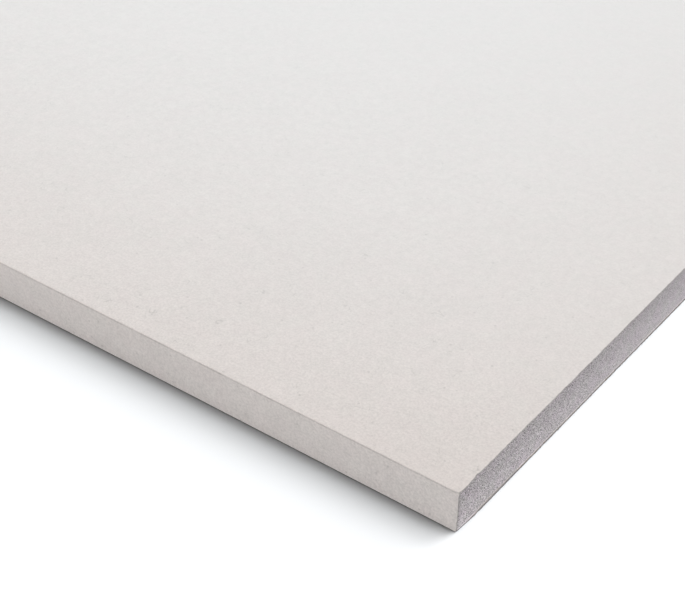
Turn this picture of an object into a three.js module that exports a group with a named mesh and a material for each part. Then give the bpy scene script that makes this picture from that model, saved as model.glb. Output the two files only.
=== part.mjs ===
// A sheet of gypsum plasterboard with square long edges, lying face up.
//
// Its three pieces are glued together over their whole area:
//   gypsum_core  the cast board, open to view where the sheet is sawn to length
//   face_paper   one liner over the face, turned down over both long edges and in under the back
//   back_paper   the liner of the back, which laps over the face liner's turned-in flaps
//
// Sizes are in millimetres. X runs along the sheet, Y across it and Z up through its thickness.
// The origin is the middle of the underside.

import * as THREE from 'three';

// The sheet.
const sheetLength = 2400;
const sheetWidth = 1200;
const sheetThickness = 12.5;

// The liners.
const faceLinerThickness = 0.35;
const backLinerThickness = 0.35;

// The wrapped long edges. The core's arrises are rounded, and the liner bends round them.
const arrisRadius = 0.1;
const arrisDivisions = 3; // each gives two facets

// Under the back, the flap lies flush with the back liner up to that liner's own edge, where a
// short ramp takes it in behind the back liner, to be glued there.
const backLinerSetback = 9; // from the long edge to the back liner's edge
const flapRampLength = 1.5;
const flapLapWidth = 16; // glued behind the back liner

const halfWidth = sheetWidth / 2;
const backLinerEdge = halfWidth - backLinerSetback;
const flapEnd = backLinerEdge - flapLapWidth;

const facePaperLook = new THREE.MeshStandardMaterial({ color: '#dedad7', roughness: 0.9, metalness: 0 });
const backPaperLook = new THREE.MeshStandardMaterial({ color: '#bdb3a6', roughness: 0.95, metalness: 0 });
const gypsumLook = new THREE.MeshStandardMaterial({ color: '#a8a2a5', roughness: 1, metalness: 0 });

// The line that the face liner follows round the +Y long edge, seen along the sheet: from the
// flap's end along the back, over the lower arris, up the edge and over the upper arris to the
// face. It runs at the given depth under the liner's outer side, so a depth of one liner is the
// surface that the liner shares with the core.
function wrapLine(depth) {
  const bendRadius = arrisRadius + faceLinerThickness - depth;
  const bendInset = arrisRadius + faceLinerThickness;
  const line = new THREE.Path();
  line.moveTo(flapEnd, backLinerThickness + depth);
  line.lineTo(backLinerEdge, backLinerThickness + depth);
  line.lineTo(backLinerEdge + flapRampLength, depth);
  line.absarc(halfWidth - bendInset, bendInset, bendRadius, -Math.PI / 2, 0);
  line.absarc(halfWidth - bendInset, sheetThickness - bendInset, bendRadius, 0, Math.PI / 2);
  return line.getPoints(arrisDivisions);
}

// The same points on the -Y side, in the same order.
function mirrored(points) {
  return points.map((point) => new THREE.Vector2(-point.x, point.y));
}

// A piece with one section along the whole sheet. The section's x and y are the sheet's Y and Z.
function extrudedPiece(name, outline, look) {
  const section = new THREE.Shape(outline);
  const geometry = new THREE.ExtrudeGeometry(section, { depth: sheetLength, bevelEnabled: false });
  const sectionToSheet = new THREE.Matrix4().makeBasis(
    new THREE.Vector3(0, 1, 0),
    new THREE.Vector3(0, 0, 1),
    new THREE.Vector3(1, 0, 0),
  );
  geometry.applyMatrix4(sectionToSheet);
  const piece = new THREE.Mesh(geometry, look);
  piece.name = name;
  piece.position.x = -sheetLength / 2;
  return piece;
}

// The board, rebated along both sides of its back for the flaps.
function gypsumCore() {
  const wrap = wrapLine(faceLinerThickness);
  const outline = [
    new THREE.Vector2(flapEnd, backLinerThickness),
    ...wrap,
    ...mirrored(wrap).reverse(),
    new THREE.Vector2(-flapEnd, backLinerThickness),
  ];
  return extrudedPiece('gypsum_core', outline, gypsumLook);
}

function facePaper() {
  const outer = wrapLine(0);
  const inner = wrapLine(faceLinerThickness);
  const outline = [
    ...outer,
    ...mirrored(outer).reverse(),
    ...mirrored(inner),
    ...inner.toReversed(),
  ];
  return extrudedPiece('face_paper', outline, facePaperLook);
}

function backPaper() {
  const outline = [
    new THREE.Vector2(-backLinerEdge, 0),
    new THREE.Vector2(backLinerEdge, 0),
    new THREE.Vector2(backLinerEdge, backLinerThickness),
    new THREE.Vector2(-backLinerEdge, backLinerThickness),
  ];
  return extrudedPiece('back_paper', outline, backPaperLook);
}

const drywallSheet = new THREE.Group();
drywallSheet.add(gypsumCore(), facePaper(), backPaper());

export default drywallSheet;
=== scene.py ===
from math import cos, exp, hypot, pi, radians, sin, sqrt

import bmesh
import bpy
from bpy.props import FloatProperty, FloatVectorProperty, PointerProperty
from mathutils import Matrix, Vector, noise


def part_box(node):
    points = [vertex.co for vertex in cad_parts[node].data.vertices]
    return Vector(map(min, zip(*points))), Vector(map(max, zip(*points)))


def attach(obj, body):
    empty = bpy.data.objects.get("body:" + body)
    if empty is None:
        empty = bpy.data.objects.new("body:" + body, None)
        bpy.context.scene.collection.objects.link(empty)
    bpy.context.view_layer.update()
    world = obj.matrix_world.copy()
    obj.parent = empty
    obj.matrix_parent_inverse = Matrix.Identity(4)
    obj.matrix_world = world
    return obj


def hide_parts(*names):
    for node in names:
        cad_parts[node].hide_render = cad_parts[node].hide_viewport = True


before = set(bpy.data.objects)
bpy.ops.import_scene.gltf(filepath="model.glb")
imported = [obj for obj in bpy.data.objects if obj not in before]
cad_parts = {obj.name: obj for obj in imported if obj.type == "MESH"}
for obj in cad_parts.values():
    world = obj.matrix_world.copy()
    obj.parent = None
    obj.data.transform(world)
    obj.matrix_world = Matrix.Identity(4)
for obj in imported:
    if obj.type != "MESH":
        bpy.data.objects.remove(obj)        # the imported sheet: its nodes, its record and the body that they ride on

bl_info = {
    "name": "Drywall Sheet",
    "version": (1, 0, 0),
    "blender": (4, 5, 0),
    "location": "View3D > Sidebar > Drywall",
    "description": "Builds a paper-lined gypsum board with sawn ends, finishes and a plain studio",
    "category": "Add Mesh",
}

BODY = "root"
SHEET_LOW, SHEET_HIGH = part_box("face_paper")
CORE_LOW, CORE_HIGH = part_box("gypsum_core")
BACK_LOW, BACK_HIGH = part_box("back_paper")
MM = 0.001
X, Y, Z = 0, 1, 2
SAME = 1e-7                 # places nearer together than this count as one

CORE_SETBACK = 0.1 * MM     # how far the sawn core lies behind the papers' cut edges
CRUMBLE = 0.32 * MM         # how deep the core has crumbled beside the liner
PIT_SPACING = 3.6           # distance between air voids, in radii of the largest
PIT_RARITY = 0.55           # the share of the places for a void that have none
PIT_DEPTH = 0.8             # depth of a void, in its own radii
CUT_REACH = 0.7 * MM        # how far in from its cut edge a liner follows that edge's raggedness
ROLL = 0.06 * MM            # how far the saw has rolled over the outer corner of a cut edge
ROLL_REACH = 0.14 * MM      # how far in from the cut edge the roll begins

WHITE = (1, 1, 1)
WINDOW_COLOUR = (0.986, 0.949, 0.938)
FLOOR_BOUNCE = (0.107, 0.111, 0.112, 1)     # the floor's colour for the light that it throws back
FLOOR_SHOWN = (0.239, 0.253, 0.261, 1)      # its colour for the camera, near the sheet
FLOOR_FADE = (1.7, 3.2)                     # distances at which it starts and ends fading to white
WORLD_LIGHT = 0.1                           # what the white surroundings give to surfaces
LIT_PLACE = (0.6, -0.3, 0)                  # where the lamps point: the front right quarter


# Sizes and colours that a user may change


class DrywallSizes(bpy.types.PropertyGroup):
    face_liner: FloatProperty(
        name="Face liner", description="Thickness of the paper that wraps the face and long edges",
        default=SHEET_HIGH.z - CORE_HIGH.z, unit="LENGTH")
    back_liner: FloatProperty(
        name="Back liner", description="Thickness of the paper on the back",
        default=BACK_HIGH.z - BACK_LOW.z, unit="LENGTH")
    core_arris: FloatProperty(
        name="Core arris", description="Radius of the core's arrises",
        default=0.1 * MM, unit="LENGTH")
    fold_radius: FloatProperty(
        name="Fold radius", description="Outer radius to which the liner is pressed over an arris",
        default=0.2 * MM, unit="LENGTH")
    groove_depth: FloatProperty(
        name="Groove depth",
        description="Depth of the crease that the folding leaves below an arris",
        default=0.14 * MM, unit="LENGTH")
    groove_drop: FloatProperty(
        name="Groove drop", description="How far below the face the crease runs",
        default=0.46 * MM, unit="LENGTH")
    flap_reach: FloatProperty(
        name="Flap reach", description="How far the face liner comes in under the back",
        default=25 * MM, unit="LENGTH")
    flap_ramp: FloatProperty(
        name="Flap ramp", description="Length over which the flap steps up behind the back liner",
        default=1.5 * MM, unit="LENGTH")
    fine_step: FloatProperty(
        name="Fine step", description="Spacing of the mesh at the front corner",
        default=0.2 * MM, unit="LENGTH")
    step_growth: FloatProperty(
        name="Step growth", description="Distance over which the spacing grows by a factor of e",
        default=110 * MM, unit="LENGTH")
    coarse_step: FloatProperty(
        name="Coarse step", description="Widest spacing of the mesh along a cut end",
        default=6 * MM, unit="LENGTH")
    fray: FloatProperty(
        name="Fray", description="How far the paper's cut edge wanders from a straight line",
        default=0.14 * MM, unit="LENGTH")
    knock: FloatProperty(
        name="Knock", description="How far a knock has set back the tip of the front corner",
        default=0.15 * MM, unit="LENGTH")
    blunt: FloatProperty(
        name="Blunt", description="How far the same knock has pushed the tip in from the long edge",
        default=0.3 * MM, unit="LENGTH")
    bulge: FloatProperty(
        name="Bulge", description="How far the same knock has pushed out the face liner beside it",
        default=0.12 * MM, unit="LENGTH")
    nick: FloatProperty(
        name="Nick",
        description="Depth of the nick in the face liner's cut edge beside the front corner",
        default=0.14 * MM, unit="LENGTH")
    wander: FloatProperty(
        name="Wander", description="How far the saw strayed inwards beside the front corner",
        default=0.07 * MM, unit="LENGTH")
    lean: FloatProperty(
        name="Lean", description="How far the face's cut edge stands out beyond the back's",
        default=0.19 * MM, unit="LENGTH")
    grain_depth: FloatProperty(
        name="Grain depth", description="Roughness of the sawn gypsum",
        default=0.014 * MM, unit="LENGTH")
    pit_radius: FloatProperty(
        name="Pit radius", description="Radius of the largest air voids that the saw opened",
        default=0.4 * MM, unit="LENGTH")


class DrywallColours(bpy.types.PropertyGroup):
    face_paper: FloatVectorProperty(
        name="Face paper", description="Colour of the face liner",
        default=(0.76, 0.727, 0.705), size=3, subtype="COLOR", min=0, max=1)
    back_paper: FloatVectorProperty(
        name="Back paper", description="Colour of the back liner",
        default=(0.514, 0.472, 0.405), size=3, subtype="COLOR", min=0, max=1)
    # the cut edges' colour is partly paper darkened by the saw and partly painted shade, with a painted contact
    # shadow along the foot
    cut_edge_soil_and_shade: FloatVectorProperty(
        name="Cut paper", description="Colour of the papers' cut edges, which the saw has darkened",
        default=(0.203, 0.2, 0.208), size=3, subtype="COLOR", min=0, max=1)
    gypsum: FloatVectorProperty(
        name="Gypsum", description="Colour of the sawn core",
        default=(0.55, 0.523, 0.547), size=3, subtype="COLOR", min=0, max=1)


class DrywallStudio(bpy.types.PropertyGroup):
    camera_place: FloatVectorProperty(
        name="Camera", description="Where the camera stands",
        default=(SHEET_HIGH.x + 154.8 * MM, SHEET_LOW.y - 244.4 * MM, 292.1 * MM),
        size=3, subtype="TRANSLATION", unit="LENGTH")
    camera_tilt: FloatProperty(
        name="Tilt", description="How far the camera looks down",
        default=radians(38.207), subtype="ANGLE")
    camera_turn: FloatProperty(
        name="Turn", description="How far the camera turns left from looking along Y",
        default=radians(37.382), subtype="ANGLE")
    camera_roll: FloatProperty(
        name="Roll", description="How far the camera leans to the left",
        default=radians(-0.528), subtype="ANGLE")
    lens: FloatProperty(
        name="Lens", description="Focal length on a sensor 36 mm wide, in millimetres",
        default=94.66, unit="CAMERA")
    floor_size: FloatProperty(
        name="Floor size", description="Width of the floor", default=60, unit="LENGTH")
    floor_gap: FloatProperty(
        name="Floor gap", description="Thin gap between the sheet and the floor",
        default=0.15 * MM, unit="LENGTH")


# Shader maths


class Value:
    """A number that varies over a surface: a node's output, with arithmetic."""

    def __init__(self, shader, socket):
        self.shader = shader
        self.socket = socket

    def math(self, operation, first, second=0.0):
        return self.shader.node("ShaderNodeMath", {"operation": operation}, {0: first, 1: second})

    def __add__(self, other):
        return self.math("ADD", self, other)

    def __sub__(self, other):
        return self.math("SUBTRACT", self, other)

    def __rsub__(self, other):
        return self.math("SUBTRACT", other, self)

    def __mul__(self, other):
        return self.math("MULTIPLY", self, other)

    def __truediv__(self, other):
        return self.math("DIVIDE", self, other)

    def __abs__(self):
        return self.math("ABSOLUTE", self)

    __radd__ = __add__
    __rmul__ = __mul__


class Shader:
    """A material's or the world's node tree, emptied and ready for nodes."""

    def __init__(self, owner):
        owner.use_nodes = True
        self.tree = owner.node_tree
        self.tree.nodes.clear()

    def node(self, kind, settings, inputs, output=0):
        """Adds a node, sets it up, fills its sockets and returns the named output."""
        made = self.tree.nodes.new(kind)
        for key, setting in settings.items():
            setattr(made, key, setting)
        for key, source in inputs.items():
            if isinstance(source, Value):
                self.tree.links.new(source.socket, made.inputs[key])
            else:
                made.inputs[key].default_value = source
        return Value(self, made.outputs[output]) if len(made.outputs) else made

    def place(self):
        """Object coordinates, in metres."""
        return self.node("ShaderNodeTexCoord", {}, {}, "Object")

    def part(self, place, axis):
        """A place's coordinate on one axis."""
        return self.node("ShaderNodeSeparateXYZ", {}, {0: place}, axis)

    def noise(self, place, size, detail=2.0, roughness=0.5, distortion=0.0):
        """Soft noise from 0 to 1 whose features are about size across."""
        return self.node(
            "ShaderNodeTexNoise", {},
            {"Vector": place, "Scale": 1 / size, "Detail": detail, "Roughness": roughness,
             "Distortion": distortion})

    def spots(self, place, size, output="Distance"):
        """Distance, in sizes, to the nearest of scattered points, or a colour drawn for it."""
        return self.node(
            "ShaderNodeTexVoronoi", {"feature": "F1"},
            {"Vector": place, "Scale": 1 / size}, output)

    def ramp(self, value, low, high):
        """0 below low, 1 above high, smooth between. low may be the higher one."""
        return self.node(
            "ShaderNodeMapRange", {"interpolation_type": "SMOOTHSTEP"},
            {"Value": value, "From Min": low, "From Max": high})

    def dots(self, place, size, radii, share):
        """Dots about size apart, fading out between two radii, some of them faint or left out."""
        dot = self.ramp(self.spots(place, size), *radii)
        return dot * self.ramp(self.spots(place, size, "Color"), *share)

    def threads(self, place, size, curl, width, patch, share):
        """Thin curled lines about size apart, kept only in patches."""
        line = self.ramp(abs(self.noise(place, size, 1.0, 0.5, curl) - 0.5), width, 0.0)
        return line * self.ramp(self.noise(place, patch, 1.0), *share)

    def least(self, value, limit):
        """The smaller of a varying value and a limit."""
        return value.math("MINIMUM", value, limit)

    def corner(self, place, along, across):
        """1 at the sheet's corners, dying away over the given lengths along and across it."""
        x, y = self.part(place, "X"), self.part(place, "Y")
        decay = (abs(x) - SHEET_HIGH.x) / along + (abs(y) - SHEET_HIGH.y) / across
        return decay.math("EXPONENT", decay)

    def mixed(self, factor, low, high):
        """A colour that goes from low to high, plain or varying, as factor goes from 0 to 1."""
        low, high = (end if isinstance(end, Value) else (*end, 1.0) for end in (low, high))
        return self.node(
            "ShaderNodeMix", {"data_type": "RGBA"}, {"Factor": factor, 6: low, 7: high}, 2)

    def shaded(self, colour, amount):
        """A colour made lighter or darker by a varying amount around 1."""
        return self.node(
            "ShaderNodeVectorMath", {"operation": "SCALE"}, {0: colour, "Scale": amount})

    def seen(self):
        """1 for light that goes to the camera, straight or by way of a gloss or a pane."""
        straight, gloss, pane = (
            self.node("ShaderNodeLightPath", {}, {}, f"Is {kind} Ray")
            for kind in ("Camera", "Glossy", "Transmission"))
        return straight.math("MAXIMUM", straight.math("MAXIMUM", straight, gloss), pane)

    def attribute(self, name):
        """A number that the mesh holds for each of its vertices."""
        return self.node("ShaderNodeAttribute", {"attribute_name": name}, {}, "Fac")

    def matte(self, colour, roughness, height, relief):
        """Connects a rough surface whose bumps follow height, in units of relief."""
        bump = self.node(
            "ShaderNodeBump", {}, {"Height": height, "Strength": 1.0, "Distance": relief})
        surface = self.node(
            "ShaderNodeBsdfPrincipled", {},
            {"Base Color": colour, "Roughness": roughness, "Specular IOR Level": 0.25,
             "Normal": bump})
        self.node("ShaderNodeOutputMaterial", {}, {"Surface": surface})


def tinged(colour, red, green, blue):
    """A colour with each of its parts made a little stronger or weaker."""
    return colour[0] * red, colour[1] * green, colour[2] * blue


# In the finishes below, light is what the colour is multiplied by: 1 for the plain colour. Noise
# goes from 0 to 1, so with 0.5 taken off it darkens as much as it lightens.


def face_paper_finish(colour, cut_edge_soil_and_shade):
    """Smooth pale liner: soft clouding, fine grain, a few dark specks and short fibres."""
    material = bpy.data.materials.new("face paper")
    shader = Shader(material)
    place = shader.place()
    height = shader.part(place, "Z")

    # 1 on the wrapped edges, 1 along their foot, which gets painted light, and 1 on them right beside the cut ends
    edge = shader.ramp(height, SHEET_HIGH.z - 0.2 * MM, SHEET_HIGH.z - 0.9 * MM)
    painted_foot_light = shader.ramp(height, 0.9 * MM, 0.3 * MM)
    beside = edge * shader.corner(place, 1.5 * MM, 1.0)

    # how much the marks show: more near the corners, where the sheet is handled
    handled = shader.least(0.1 + 1.45 * shader.corner(place, 400 * MM, 75 * MM), 1.15 + edge)
    gently = shader.least(handled, 0.4)

    cloud = shader.noise(place, 28 * MM, 3.0)
    flock = shader.noise(place, 5 * MM, 3.0, 0.6)
    mottle = shader.noise(place, 1.7 * MM, 1.0)
    grain = shader.noise(place, 0.62 * MM, 3.0, 0.7)
    hue = shader.noise(place, 6 * MM, 2.0)
    speck = shader.dots(place, 3.4 * MM, radii=(0.14, 0.05), share=(0.25, 0.6))
    thread = shader.threads(
        place, 4.5 * MM, curl=0.6, width=0.018, patch=6 * MM, share=(0.6, 0.68))
    # painted shade in the crease below each fold, as strong as the groove
    crease = shader.attribute("crease")

    marks = 0.06 * (cloud - 0.5) + 0.1 * edge * (flock - 0.5) + 0.39 * (grain - 0.5)
    marks = marks - 0.13 * speck - 0.13 * thread
    light = 1.0 + handled * marks + gently * (0.09 * (flock - 0.5) + 0.25 * (mottle - 0.5))
    # painted light along the foot of the wrapped edges
    light = light - 0.28 * crease + 0.05 * painted_foot_light - 0.08 * beside
    tint = shader.mixed(
        shader.ramp(hue, 0.35, 0.65),
        tinged(colour, 1.003, 0.998, 1), tinged(colour, 0.997, 1.002, 1))
    # the cut edges take the cut colour: saw-darkened paper with painted shade
    paint = shader.mixed(shader.attribute("cut"), shader.shaded(tint, light), cut_edge_soil_and_shade)
    relief = handled * (0.6 * grain + 0.5 * thread) + 0.6 * gently * flock
    shader.matte(paint, 0.88 + 0.08 * grain, relief, 0.05 * MM)
    return material


def back_paper_finish(colour, cut_edge_soil_and_shade):
    """Coarser recycled liner: grey brown, with light and dark fibres."""
    material = bpy.data.materials.new("back paper")
    shader = Shader(material)
    place = shader.place()
    cloud = shader.noise(place, 90 * MM, 3.0)
    grain = shader.noise(place, 0.8 * MM, 3.0, 0.7)
    flock = shader.noise(place, 6 * MM, 3.0)
    thread = shader.threads(place, 5 * MM, curl=0.8, width=0.02, patch=7 * MM, share=(0.52, 0.6))
    speck = shader.ramp(shader.spots(place, 5 * MM), 0.07, 0.04)
    light = 1.0 + 0.08 * (cloud - 0.5) + 0.1 * (flock - 0.5) + 0.22 * (grain - 0.5)
    light = light - 0.15 * thread - 0.25 * speck
    tint = shader.mixed(cloud, tinged(colour, 0.97, 0.97, 0.97), tinged(colour, 1.03, 1.03, 1.03))
    # the cut edges take the cut colour: saw-darkened paper with painted shade
    paint = shader.mixed(shader.attribute("cut"), shader.shaded(tint, light), cut_edge_soil_and_shade)
    shader.matte(paint, 0.9 + 0.06 * grain, grain + flock, 0.06 * MM)
    return material


def gypsum_finish(colour):
    """Sawn gypsum: grey crystals, light grains and painted shade in the mouths of small air voids."""
    material = bpy.data.materials.new("sawn gypsum")
    shader = Shader(material)
    place = shader.place()
    height = shader.part(place, "Z")
    cloud = shader.noise(place, 9 * MM, 2.0)
    grain = shader.noise(place, 0.16 * MM, 0.0)
    hue = shader.noise(place, 3.5 * MM, 1.0)
    # dark spots for small air voids: painted shade in their mouths
    void = shader.dots(place, 1.5 * MM, radii=(0.17, 0.06), share=(0.5, 0.7))
    crystal = shader.ramp(shader.spots(place, 1.7 * MM), 0.18, 0.08)
    # depth of the open pits and crumbling of the rim, read for painted shade in them
    pit = shader.attribute("pit")
    rim = shader.attribute("rim")

    # lighter towards the back from painted light, and lightest of all in the thin paler layer on its liner
    painted_lower_light = shader.ramp(height, 12 * MM, 1 * MM)
    coat = shader.ramp(height, 1.0 * MM, 0.62 * MM)

    # the grain is strongest near the long edges and weak on the crumbled rim
    side = abs(shader.part(place, "Y"))
    rough = 0.6 + 0.85 * shader.ramp(side, SHEET_HIGH.y - 110 * MM, SHEET_HIGH.y - 15 * MM)
    uneven = grain - 0.5
    speckle = rough * (1 - 0.6 * rim) * (0.045 + uneven * (2.45 - 3.8 * uneven))

    light = 0.895 + 0.24 * painted_lower_light + 0.42 * coat + 0.13 * (cloud - 0.5) + speckle
    # painted shade in the voids, in the open pits and on the crumbled rim beside the liner
    light = light - 0.42 * void + 0.05 * crystal - 0.1 * pit - 0.26 * rim
    tint = shader.mixed(
        shader.ramp(hue, 0.3, 0.7),
        tinged(colour, 1.01, 0.99, 1.01), tinged(colour, 0.99, 1.01, 0.985))
    shader.matte(shader.shaded(tint, light), 0.95, grain - 0.5 * void, 0.04 * MM)
    return material


# Meshes


def add_piece(name, bm, material, slot, *nodes):
    """Turns a bmesh into a piece that stands for CAD nodes and rides on the sheet."""
    mesh = bpy.data.meshes.new(name)
    bm.to_mesh(mesh)
    bm.free()
    mesh.materials.append(material)
    piece = bpy.data.objects.new(name, mesh)
    bpy.context.scene.collection.objects.link(piece)
    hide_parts(*nodes)
    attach(piece, BODY)


def sliced(bm, faces, axis, places):
    """Cuts faces across an axis at each place in turn, each time passing on what lies beyond."""
    along = Vector([float(axis == i) for i in range(3)])
    beyond = list(faces)
    for place in places:
        # each part once and in a fixed order, so that every run gives the same mesh
        parts = dict.fromkeys(part for face in beyond for part in (face, *face.edges, *face.verts))
        cut = bmesh.ops.bisect_plane(
            bm, geom=list(parts), dist=1e-8, plane_co=along * place, plane_no=along)
        beyond = [
            part for part in cut["geom"]
            if isinstance(part, bmesh.types.BMFace) and part.calc_center_median()[axis] > place]


def even_places(low, high, step):
    """Places between two others, evenly spaced and about a step apart."""
    count = max(round((high - low) / step), 1)
    return [low + (high - low) * i / count for i in range(1, count)]


def graded_steps(reach, fine, growth, coarse):
    """Distances up to reach that start a fine step apart and spread out to a coarse one."""
    distances = [fine]
    while distances[-1] < reach - fine:
        distances.append(distances[-1] + min(fine * exp(distances[-1] / growth), coarse))
    return distances[:-1]


def across_places(sizes, low, high):
    """Places across the sheet, closest together at the front long edge."""
    steps = graded_steps(high - low, sizes.fine_step, sizes.step_growth, sizes.coarse_step)
    return [low + step for step in steps]


def end_places():
    """Places along the sheet, close to its two ends, where a liner gets the lines of its mesh."""
    steps = graded_steps(reach=40 * MM, fine=0.12 * MM, growth=0.35 * MM, coarse=12 * MM)
    left = [SHEET_LOW.x + step for step in steps]
    return left + [SHEET_HIGH.x - step for step in reversed(steps)]


def held(value, low, high):
    """The value, kept between two limits."""
    return min(max(value, low), high)


def hump(value, start, full, hold, end):
    """0 up to start, 1 from full to hold and 0 from end, smooth between."""
    rise = held((value - start) / (full - start), 0.0, 1.0)
    fall = held((end - value) / (end - hold), 0.0, 1.0)
    return rise * rise * (3 - 2 * rise) * fall * fall * (3 - 2 * fall)


def fading(distance, reach):
    """1 at no distance and next to nothing at twice the reach, either way."""
    return exp(-((distance / reach) ** 2))


def end_distance(place):
    return SHEET_HIGH.x - abs(place.x)


def at_front_corner(place):
    return place.x > 0 and place.y < 0


def blunting(place, sizes):
    """How far the knock has pushed a place at the front corner in from the long edge."""
    across, drop = place.y - SHEET_LOW.y, SHEET_HIGH.z - place.z
    beside_tip = fading(hypot(across, end_distance(place)), 0.8 * MM)
    return sizes.blunt * beside_tip * fading(drop, 1.6 * MM)


def solid_along(bm, outline):
    """Fills an outline in the right-hand end's plane and extrudes it to the other end."""
    face = bm.faces.new([bm.verts.new((SHEET_HIGH.x, y, z)) for y, z in outline])
    drawn = bmesh.ops.extrude_face_region(bm, geom=[face], use_keep_orig=True)
    moved = [part for part in drawn["geom"] if isinstance(part, bmesh.types.BMVert)]
    bmesh.ops.translate(bm, verts=moved, vec=(SHEET_LOW.x - SHEET_HIGH.x, 0, 0))
    bmesh.ops.recalc_face_normals(bm, faces=bm.faces[:])


def long_edges(bm, half):
    """The edges that run the sheet's length along its two long sides."""
    return [
        edge for edge in bm.edges
        if all(abs(abs(v.co.y) - half) < SAME for v in edge.verts)
        and abs(edge.verts[0].co.x - edge.verts[1].co.x) > SHEET_HIGH.x]


def in_plane(bm, axis, level):
    """The faces that lie in a plane across an axis."""
    return [face for face in bm.faces if all(abs(v.co[axis] - level) < SAME for v in face.verts)]


def pit_depth(place, radius):
    """Depth of the air void that the saw opened at a place, or 0 between voids."""
    spacing = PIT_SPACING * radius
    (near, *_), (centre, *_) = noise.voronoi(place / spacing)
    # a number from 0 to 1 for each void; the factor keeps neighbours from drawing the same one
    share = noise.cell(centre * 7.3) * 0.5 + 0.5
    size = radius * max(0.0, share - PIT_RARITY) / (1 - PIT_RARITY)
    square = size * size - (near * spacing) ** 2
    return PIT_DEPTH * sqrt(square) if square > 0 else 0.0


def rim_crumble_and_shade(place):
    """How far the core's end crumbles beside the liner, which also sets its painted shade: most at its sides, hardly
    at its base.
    """
    side = min(place.y - CORE_LOW.y, CORE_HIGH.y - place.y)
    lid, base = CORE_HIGH.z - place.z, place.z - CORE_LOW.z
    upper = hump(place.z, 3 * MM, 7 * MM, 12.5 * MM, 13 * MM)
    return max(
        (1 + 0.8 * upper) * fading(side, 0.7 * MM),
        0.8 * fading(lid, 0.4 * MM),
        0.1 * fading(base, 0.3 * MM))


def roughen_core(bm, sizes):
    """Gives the core's two ends the saw's grain, open voids and a crumbled rim, and keeps their painted shade."""
    painted_pit_shade = bm.verts.layers.float.new("pit")
    painted_rim_shade = bm.verts.layers.float.new("rim")
    for v in bm.verts:
        inward = -1 if v.co.x > 0 else 1
        spacing = sizes.fine_step * exp((v.co.y - CORE_LOW.y) / sizes.step_growth)
        shown = min(1.0, 0.5 * MM / spacing)        # a coarser mesh can't hold the voids' shape
        pit = pit_depth(v.co, sizes.pit_radius) * shown
        grain = sizes.grain_depth * noise.noise(v.co / (0.4 * MM))
        patchy = 0.55 + 0.45 * noise.noise(v.co / (1.6 * MM))
        rim = rim_crumble_and_shade(v.co)
        crumbled = CRUMBLE * patchy * rim
        # kept for painted shade in the open pits and on the crumbled rim
        v[painted_pit_shade] = min(pit / sizes.pit_radius, 1.0)
        v[painted_rim_shade] = patchy * rim
        if at_front_corner(v.co):
            v.co.y += blunting(v.co, sizes)
        v.co.x += inward * (CORE_SETBACK + grain + pit + crumbled)


def build_core(sizes, colours):
    """The cast board: its section, with rebates for the laps, run along the sheet."""
    half = CORE_HIGH.y
    lap = BACK_HIGH.y
    flap_end = SHEET_HIGH.y - sizes.flap_reach
    low, step_up, high = CORE_LOW.z, CORE_LOW.z + sizes.face_liner, CORE_HIGH.z
    side = [
        (flap_end, low), (flap_end, step_up), (lap, step_up), (lap + sizes.flap_ramp, low),
        (half, low), (half, high)]
    bm = bmesh.new()
    solid_along(bm, side + [(-y, z) for y, z in reversed(side)])
    bmesh.ops.bevel(
        bm, geom=long_edges(bm, half), offset=sizes.core_arris, segments=3, profile=0.5,
        affect="EDGES", material=-1)
    sliced(bm, in_plane(bm, X, SHEET_HIGH.x), Z, even_places(low, high, step=0.22 * MM))
    sliced(bm, in_plane(bm, X, SHEET_HIGH.x), Y, across_places(sizes, CORE_LOW.y, half))
    sliced(bm, in_plane(bm, X, SHEET_LOW.x), Z, even_places(low, high, step=1.5 * MM))
    sliced(bm, in_plane(bm, X, SHEET_LOW.x), Y, even_places(-half, half, step=6 * MM))
    roughen_core(bm, sizes)
    add_piece("sawn_gypsum_core", bm, gypsum_finish(colours.gypsum), "gypsum", "gypsum_core")


def sharpen_folds(bm, sizes):
    """Presses the outside of the liner's round bends over the arrises to the fold radius."""
    soft = sizes.core_arris + sizes.face_liner
    pull = soft - sizes.fold_radius
    for v in bm.verts:
        out_y = soft - (SHEET_HIGH.y - abs(v.co.y))
        out_z = soft - min(SHEET_HIGH.z - v.co.z, v.co.z - SHEET_LOW.z)
        if min(out_y, out_z) < -SAME or abs(hypot(out_y, out_z) - soft) > 10 * SAME:
            continue
        v.co.y += (1 if v.co.y > 0 else -1) * pull * (1 - out_y / soft)
        v.co.z += (1 if v.co.z > SHEET_HIGH.z / 2 else -1) * pull * (1 - out_z / soft)


def groove_places(sizes):
    """Heights at which the wrapped edge gets lines for its crease: more of them below it."""
    middle = SHEET_HIGH.z - sizes.groove_drop
    return [middle + i * 0.07 * MM for i in range(-4, 3)]


def shape_wrapped_edge(bm, sizes):
    """Presses the crease into the wrapped edges, keeps its strength for the painted shade in it and makes their folds
    a little uneven.
    """
    painted_crease_shade = bm.verts.layers.float.new("crease")
    for v in bm.verts:
        side = 1 if v.co.y > 0 else -1
        depth = SHEET_HIGH.y - abs(v.co.y)
        drop = SHEET_HIGH.z - v.co.z
        if depth > 3 * MM:      # out of reach of both
            continue
        place = Vector((v.co.x, side * SHEET_HIGH.y, 0))
        strength = held(0.8 + 0.9 * noise.noise(place / (4 * MM)), 0.25, 1.3)
        groove = fading(depth, 0.12 * MM) * fading(drop - sizes.groove_drop, 0.2 * MM) * strength
        # the groove's strength is also kept for painted shade in the crease
        v[painted_crease_shade] = groove
        v.co.y -= side * groove * sizes.groove_depth
        waver = 0.05 * MM * noise.fractal(place / (3 * MM), 1.0, 2.0, 2)
        lift = waver * fading(depth, 0.4 * MM) * fading(drop, 0.4 * MM)
        v.co.z += lift - abs(waver) * (drop < SAME)     # the face itself only dips


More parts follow.
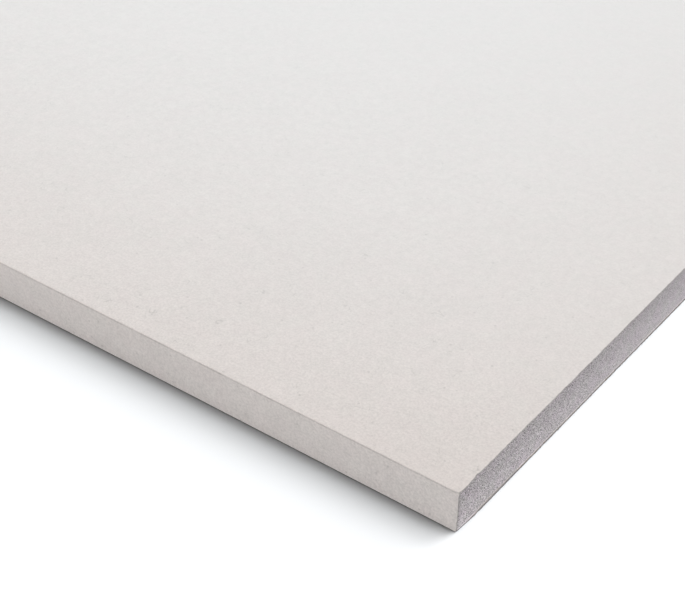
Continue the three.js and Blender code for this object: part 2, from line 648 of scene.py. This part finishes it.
def cut_soil_and_shade(place):
    """How dark a cut edge of paper is, from 0 to 1: partly darkened by the saw and partly painted shade."""
    side, drop = SHEET_HIGH.y - abs(place.y), SHEET_HIGH.z - place.z
    beside = fading(side, 0.6 * MM) * hump(place.z, 0, 6.5 * MM, 12 * MM, 13 * MM)
    # painted contact shadow along the foot of the cut edge
    painted_contact_shadow = fading(place.z - SHEET_LOW.z, 0.4 * MM)
    darkness = 0.46 + 0.3 * noise.noise(place / (1.2 * MM)) + 0.25 * beside + 0.6 * painted_contact_shadow
    if at_front_corner(place):
        # darker near the top of the face's cut edge, about 1 to 9 mm in from the front corner
        corner_band = hump(place.y - SHEET_LOW.y, 0.6 * MM, 1.5 * MM, 7 * MM, 9 * MM)
        darkness += 0.25 * corner_band * fading(drop, 0.4 * MM)
    return min(darkness, 1.0)


def raggedness(place, sizes):
    """How far a cut edge of paper stands out at a place, with its chips and its lean."""
    slow = noise.noise(place / (8 * MM))
    quick = noise.fractal(place / (0.8 * MM), 1.0, 2.0, 2)
    chip = max(noise.noise(place / (2.1 * MM)) - 0.3, 0.0)
    ragged = sizes.fray * (0.05 + 0.15 * slow + 0.6 * quick - 1.2 * chip)
    return ragged + sizes.lean * (1 - (SHEET_HIGH.z - place.z) / SHEET_HIGH.z)


def corner_wear(place, sizes):
    """How far the bulge, nick, straying saw and knock move the liner outwards at the corner."""
    across, drop = place.y - SHEET_LOW.y, SHEET_HIGH.z - place.z
    pushed = hump(across, 0.9 * MM, 2.2 * MM, 3.3 * MM, 4.8 * MM)
    nicked = hump(across, 6.4 * MM, 7.2 * MM, 8.2 * MM, 9.6 * MM)
    strayed = hump(across, 4.2 * MM, 5.2 * MM, 28 * MM, 42 * MM)
    upper_knock = fading(across, 0.6 * MM) * fading(drop, 7 * MM)
    foot = 3.1 * fading(across, 0.8 * MM) - 0.8 * fading(across, 35 * MM)
    return (
        (sizes.bulge * pushed - sizes.nick * nicked) * fading(drop, 0.9 * MM)
        - sizes.wander * strayed * fading(drop, 4 * MM)
        - sizes.knock * (upper_knock + foot * fading(place.z, 4 * MM)))


def fray_ends(bm, sizes):
    """Makes the cut edges of a liner ragged, rolls their outer corners and knocks the front one."""
    cuts = bm.verts.layers.float.new("cut")
    for v in bm.verts:
        gap = end_distance(v.co)
        near = fading(gap, CUT_REACH)
        if near < 0.001:        # too far in to be moved
            continue
        outward = 1 if v.co.x > 0 else -1
        # how dark the cut edge is: saw-darkened, with painted shade and painted contact shadow
        v[cuts] = cut_soil_and_shade(v.co) if gap < SAME else 0.0
        push = raggedness(v.co, sizes)
        roll = ROLL * fading(gap, ROLL_REACH)
        if at_front_corner(v.co):
            push += corner_wear(v.co, sizes)
            at_edge = v.co.y - SHEET_LOW.y < 0.1 * MM
            v.co.y += blunting(v.co, sizes)
            v.co.y += roll * at_edge
        v.co.z -= roll * (SHEET_HIGH.z - v.co.z < 0.1 * MM)
        v.co.x += outward * push * near


def build_face_paper(sizes, colours):
    """The liner of the face: a line round the core, run along the sheet and made thick."""
    half, top, ground = SHEET_HIGH.y, SHEET_HIGH.z, SHEET_LOW.z
    lap = BACK_HIGH.y
    flap_end = half - sizes.flap_reach
    flap = ground + sizes.back_liner
    side = [
        (flap_end, flap), (lap, flap), (lap + sizes.flap_ramp, ground), (half, ground), (half, top)]
    outline = side + [(-y, z) for y, z in reversed(side)]
    bm = bmesh.new()
    chain = [bm.verts.new((SHEET_LOW.x, y, z)) for y, z in outline]
    for first, second in zip(chain, chain[1:]):
        bm.edges.new((first, second))
    drawn = bmesh.ops.extrude_edge_only(bm, edges=bm.edges[:])
    moved = [part for part in drawn["geom"] if isinstance(part, bmesh.types.BMVert)]
    bmesh.ops.translate(bm, verts=moved, vec=(SHEET_HIGH.x - SHEET_LOW.x, 0, 0))
    bend = sizes.core_arris + sizes.face_liner
    bmesh.ops.bevel(
        bm, geom=long_edges(bm, half), offset=bend, segments=6, profile=0.5,
        affect="EDGES", material=-1)
    bmesh.ops.recalc_face_normals(bm, faces=bm.faces[:])
    if in_plane(bm, Z, top)[0].normal.z < 0:
        bmesh.ops.reverse_faces(bm, faces=bm.faces[:])
    bmesh.ops.solidify(bm, geom=bm.faces[:], thickness=sizes.face_liner)
    bmesh.ops.recalc_face_normals(bm, faces=bm.faces[:])
    sharpen_folds(bm, sizes)
    heights = even_places(ground + bend, top - bend, step=0.35 * MM) + groove_places(sizes)
    sides = [face for face in bm.faces if abs(face.calc_center_median().y) > half - bend]
    sliced(bm, sides, Z, sorted(heights))
    sliced(bm, bm.faces[:], X, end_places())
    lids = [face for face in bm.faces if face.calc_center_median().z > top - bend]
    sliced(bm, lids, Y, across_places(sizes, bend - half, half - bend))
    front = [face for face in bm.faces if face.calc_center_median().y < sizes.fold_radius - half]
    steps = graded_steps(
        reach=SHEET_HIGH.x - SHEET_LOW.x, fine=0.8 * MM, growth=60 * MM, coarse=60 * MM)
    sliced(bm, front, X, [SHEET_HIGH.x - step for step in reversed(steps)])
    shape_wrapped_edge(bm, sizes)
    fray_ends(bm, sizes)
    finish = face_paper_finish(colours.face_paper, colours.cut_edge_soil_and_shade)
    add_piece("wrapped_face_paper", bm, finish, "face_paper", "face_paper")


def build_back_paper(sizes, colours):
    """The liner of the back: a flat strip."""
    bm = bmesh.new()
    bmesh.ops.create_cube(bm, size=1)
    bmesh.ops.scale(bm, verts=bm.verts[:], vec=BACK_HIGH - BACK_LOW)
    bmesh.ops.translate(bm, verts=bm.verts[:], vec=(BACK_HIGH + BACK_LOW) / 2)
    sliced(bm, bm.faces[:], X, end_places())
    sliced(bm, bm.faces[:], Y, across_places(sizes, BACK_LOW.y, BACK_HIGH.y))
    fray_ends(bm, sizes)
    finish = back_paper_finish(colours.back_paper, colours.cut_edge_soil_and_shade)
    add_piece("back_liner", bm, finish, "back_paper", "back_paper")


# The studio


def add_camera(studio):
    camera = bpy.data.objects.new("camera", bpy.data.cameras.new("camera"))
    bpy.context.scene.collection.objects.link(camera)
    camera.location = studio.camera_place
    turn = Matrix.Rotation(studio.camera_turn, 3, "Z")
    tilt = Matrix.Rotation(pi / 2 - studio.camera_tilt, 3, "X")
    lean = Matrix.Rotation(studio.camera_roll, 3, "Z")
    camera.rotation_euler = (turn @ tilt @ lean).to_euler()
    camera.data.lens = studio.lens
    camera.data.sensor_width = 36
    camera.data.clip_start = 0.01
    camera.data.clip_end = 200
    bpy.context.scene.camera = camera


def add_softbox(name, place, target, size, radiance, colour):
    """A rectangular lamp of the given size whose face has the given radiance."""
    lamp = bpy.data.lights.new(name, "AREA")
    lamp.shape = "RECTANGLE"
    lamp.size, lamp.size_y = size
    lamp.energy = radiance * pi * size[0] * size[1]
    lamp.color = colour
    softbox = bpy.data.objects.new(name, lamp)
    bpy.context.scene.collection.objects.link(softbox)
    softbox.location = place
    softbox.rotation_euler = (Vector(target) - Vector(place)).to_track_quat("-Z", "Y").to_euler()
    softbox.visible_camera = False
    return softbox


def add_floor(studio):
    """A plain floor that throws back little light and fades to white away from the sheet."""
    bm = bmesh.new()
    bmesh.ops.create_grid(bm, x_segments=1, y_segments=1, size=studio.floor_size / 2)
    mesh = bpy.data.meshes.new("floor")
    bm.to_mesh(mesh)
    bm.free()
    material = bpy.data.materials.new("floor")
    shader = Shader(material)
    bounce = shader.node("ShaderNodeBsdfDiffuse", {}, {"Color": FLOOR_BOUNCE})
    near = shader.node("ShaderNodeBsdfDiffuse", {}, {"Color": FLOOR_SHOWN})
    backdrop = shader.node("ShaderNodeEmission", {}, {"Color": (*WHITE, 1)})
    distance = shader.node(
        "ShaderNodeVectorMath", {"operation": "LENGTH"}, {0: shader.place()}, "Value")
    fade = shader.ramp(distance, *FLOOR_FADE)
    shown = shader.node("ShaderNodeMixShader", {}, {0: fade, 1: near, 2: backdrop})
    surface = shader.node("ShaderNodeMixShader", {}, {0: shader.seen(), 1: bounce, 2: shown})
    shader.node("ShaderNodeOutputMaterial", {}, {"Surface": surface})
    mesh.materials.append(material)
    floor = bpy.data.objects.new("floor", mesh)
    floor.location.z = SHEET_LOW.z - studio.floor_gap
    bpy.context.scene.collection.objects.link(floor)
    return floor


def light_world():
    """White surroundings that light the sheet only a little."""
    world = bpy.data.worlds.new("studio")
    bpy.context.scene.world = world
    shader = Shader(world)
    seen = shader.seen()
    strength = WORLD_LIGHT + (1.0 - WORLD_LIGHT) * seen
    background = shader.node(
        "ShaderNodeBackground", {},
        {"Color": shader.mixed(seen, WINDOW_COLOUR, WHITE), "Strength": strength})
    shader.node("ShaderNodeOutputWorld", {}, {"Surface": background})


def around(target, azimuth, elevation, distance):
    """A place at a distance from the target, in a direction given in degrees."""
    turn, rise = radians(azimuth), radians(elevation)
    direction = Vector((cos(turn) * cos(rise), sin(turn) * cos(rise), sin(rise)))
    return Vector(target) + distance * direction


def light_sheet():
    """A warm lamp overhead, a cool one low above the face and one for each side that shows."""
    lamps = (       # name, place, target, size, radiance, colour
        ("overhead", (0.6, -0.3, 3), LIT_PLACE, (5, 5), 1.318, (0.986, 0.855, 0.789)),
        ("low", (0.05, 0, 0.15), (0.05, 0, 0), (2.4, 1.2), 0.577, (0.533, 0.798, 0.938)),
        ("front_fill", around(LIT_PLACE, -90, 10, 3.5), LIT_PLACE, (2.5, 0.8), 6.65,
         (0.987, 0.986, 1)),
        ("right_fill", around(LIT_PLACE, 0, 8, 3.5), LIT_PLACE, (1.6, 0.8), 7.64,
         (1, 0.987, 0.989)))
    for lamp in lamps:
        add_softbox(*lamp)


def light_floor(floor):
    """Windows behind and to the right that light only the floor, for the soft front shadow."""
    only_floor = bpy.data.collections.new("floor only")
    only_floor.objects.link(floor)
    windows = (     # name, azimuth, elevation, width, radiance
        ("window_low", 40, 30, 11, 11.7),
        ("window_side", 60, 40, 3, 15.5),
        ("window_mid", 40, 60, 7, 25.2),
        ("window_high", 40, 80, 3, 27.9))
    for name, azimuth, elevation, width, radiance in windows:
        place = around(LIT_PLACE, azimuth, elevation, distance=8)
        window = add_softbox(name, place, LIT_PLACE, (width, 2.5), radiance, WINDOW_COLOUR)
        window.light_linking.receiver_collection = only_floor


def build_studio(studio):
    add_camera(studio)
    floor = add_floor(studio)
    light_world()
    light_sheet()
    light_floor(floor)
    bpy.context.scene.view_settings.view_transform = "Standard"


# Operators and panel


class DRYWALL_OT_studio(bpy.types.Operator):
    """Set up the camera, the floor and the studio light"""
    bl_idname = "drywall.studio"
    bl_label = "Studio"

    def execute(self, context):
        build_studio(context.scene.drywall_studio)
        return {"FINISHED"}


class DRYWALL_OT_core(bpy.types.Operator):
    """Build the gypsum core with its sawn ends"""
    bl_idname = "drywall.core"
    bl_label = "Gypsum core"

    def execute(self, context):
        build_core(context.scene.drywall_sizes, context.scene.drywall_colours)
        return {"FINISHED"}


class DRYWALL_OT_face_paper(bpy.types.Operator):
    """Build the face liner that wraps the long edges"""
    bl_idname = "drywall.face_paper"
    bl_label = "Face paper"

    def execute(self, context):
        build_face_paper(context.scene.drywall_sizes, context.scene.drywall_colours)
        return {"FINISHED"}


class DRYWALL_OT_back_paper(bpy.types.Operator):
    """Build the back liner"""
    bl_idname = "drywall.back_paper"
    bl_label = "Back paper"

    def execute(self, context):
        build_back_paper(context.scene.drywall_sizes, context.scene.drywall_colours)
        return {"FINISHED"}


class DRYWALL_PT_sheet(bpy.types.Panel):
    """Lists the sheet's pieces, sizes and colours"""
    bl_idname = "DRYWALL_PT_sheet"
    bl_label = "Drywall sheet"
    bl_space_type = "VIEW_3D"
    bl_region_type = "UI"
    bl_category = "Drywall"

    def draw(self, context):
        layout = self.layout
        for step in STEPS:
            layout.operator(step.bl_idname)
        for owner in GROUPS:
            group = getattr(context.scene, owner)
            box = layout.box()
            for name in group.__annotations__:
                box.prop(group, name)


STEPS = (DRYWALL_OT_studio, DRYWALL_OT_core, DRYWALL_OT_face_paper, DRYWALL_OT_back_paper)
GROUPS = {
    "drywall_sizes": DrywallSizes,
    "drywall_colours": DrywallColours,
    "drywall_studio": DrywallStudio,
}
CLASSES = (*GROUPS.values(), *STEPS, DRYWALL_PT_sheet)


def register():
    for cls in CLASSES:
        bpy.utils.register_class(cls)
    for name, group in GROUPS.items():
        setattr(bpy.types.Scene, name, PointerProperty(type=group))


def unregister():
    for name in GROUPS:
        delattr(bpy.types.Scene, name)
    for cls in reversed(CLASSES):
        bpy.utils.unregister_class(cls)


def main():
    register()
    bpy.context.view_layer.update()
    bpy.ops.drywall.studio()
    bpy.ops.drywall.core()
    bpy.ops.drywall.face_paper()
    bpy.ops.drywall.back_paper()


if __name__ == "__main__":
    main()
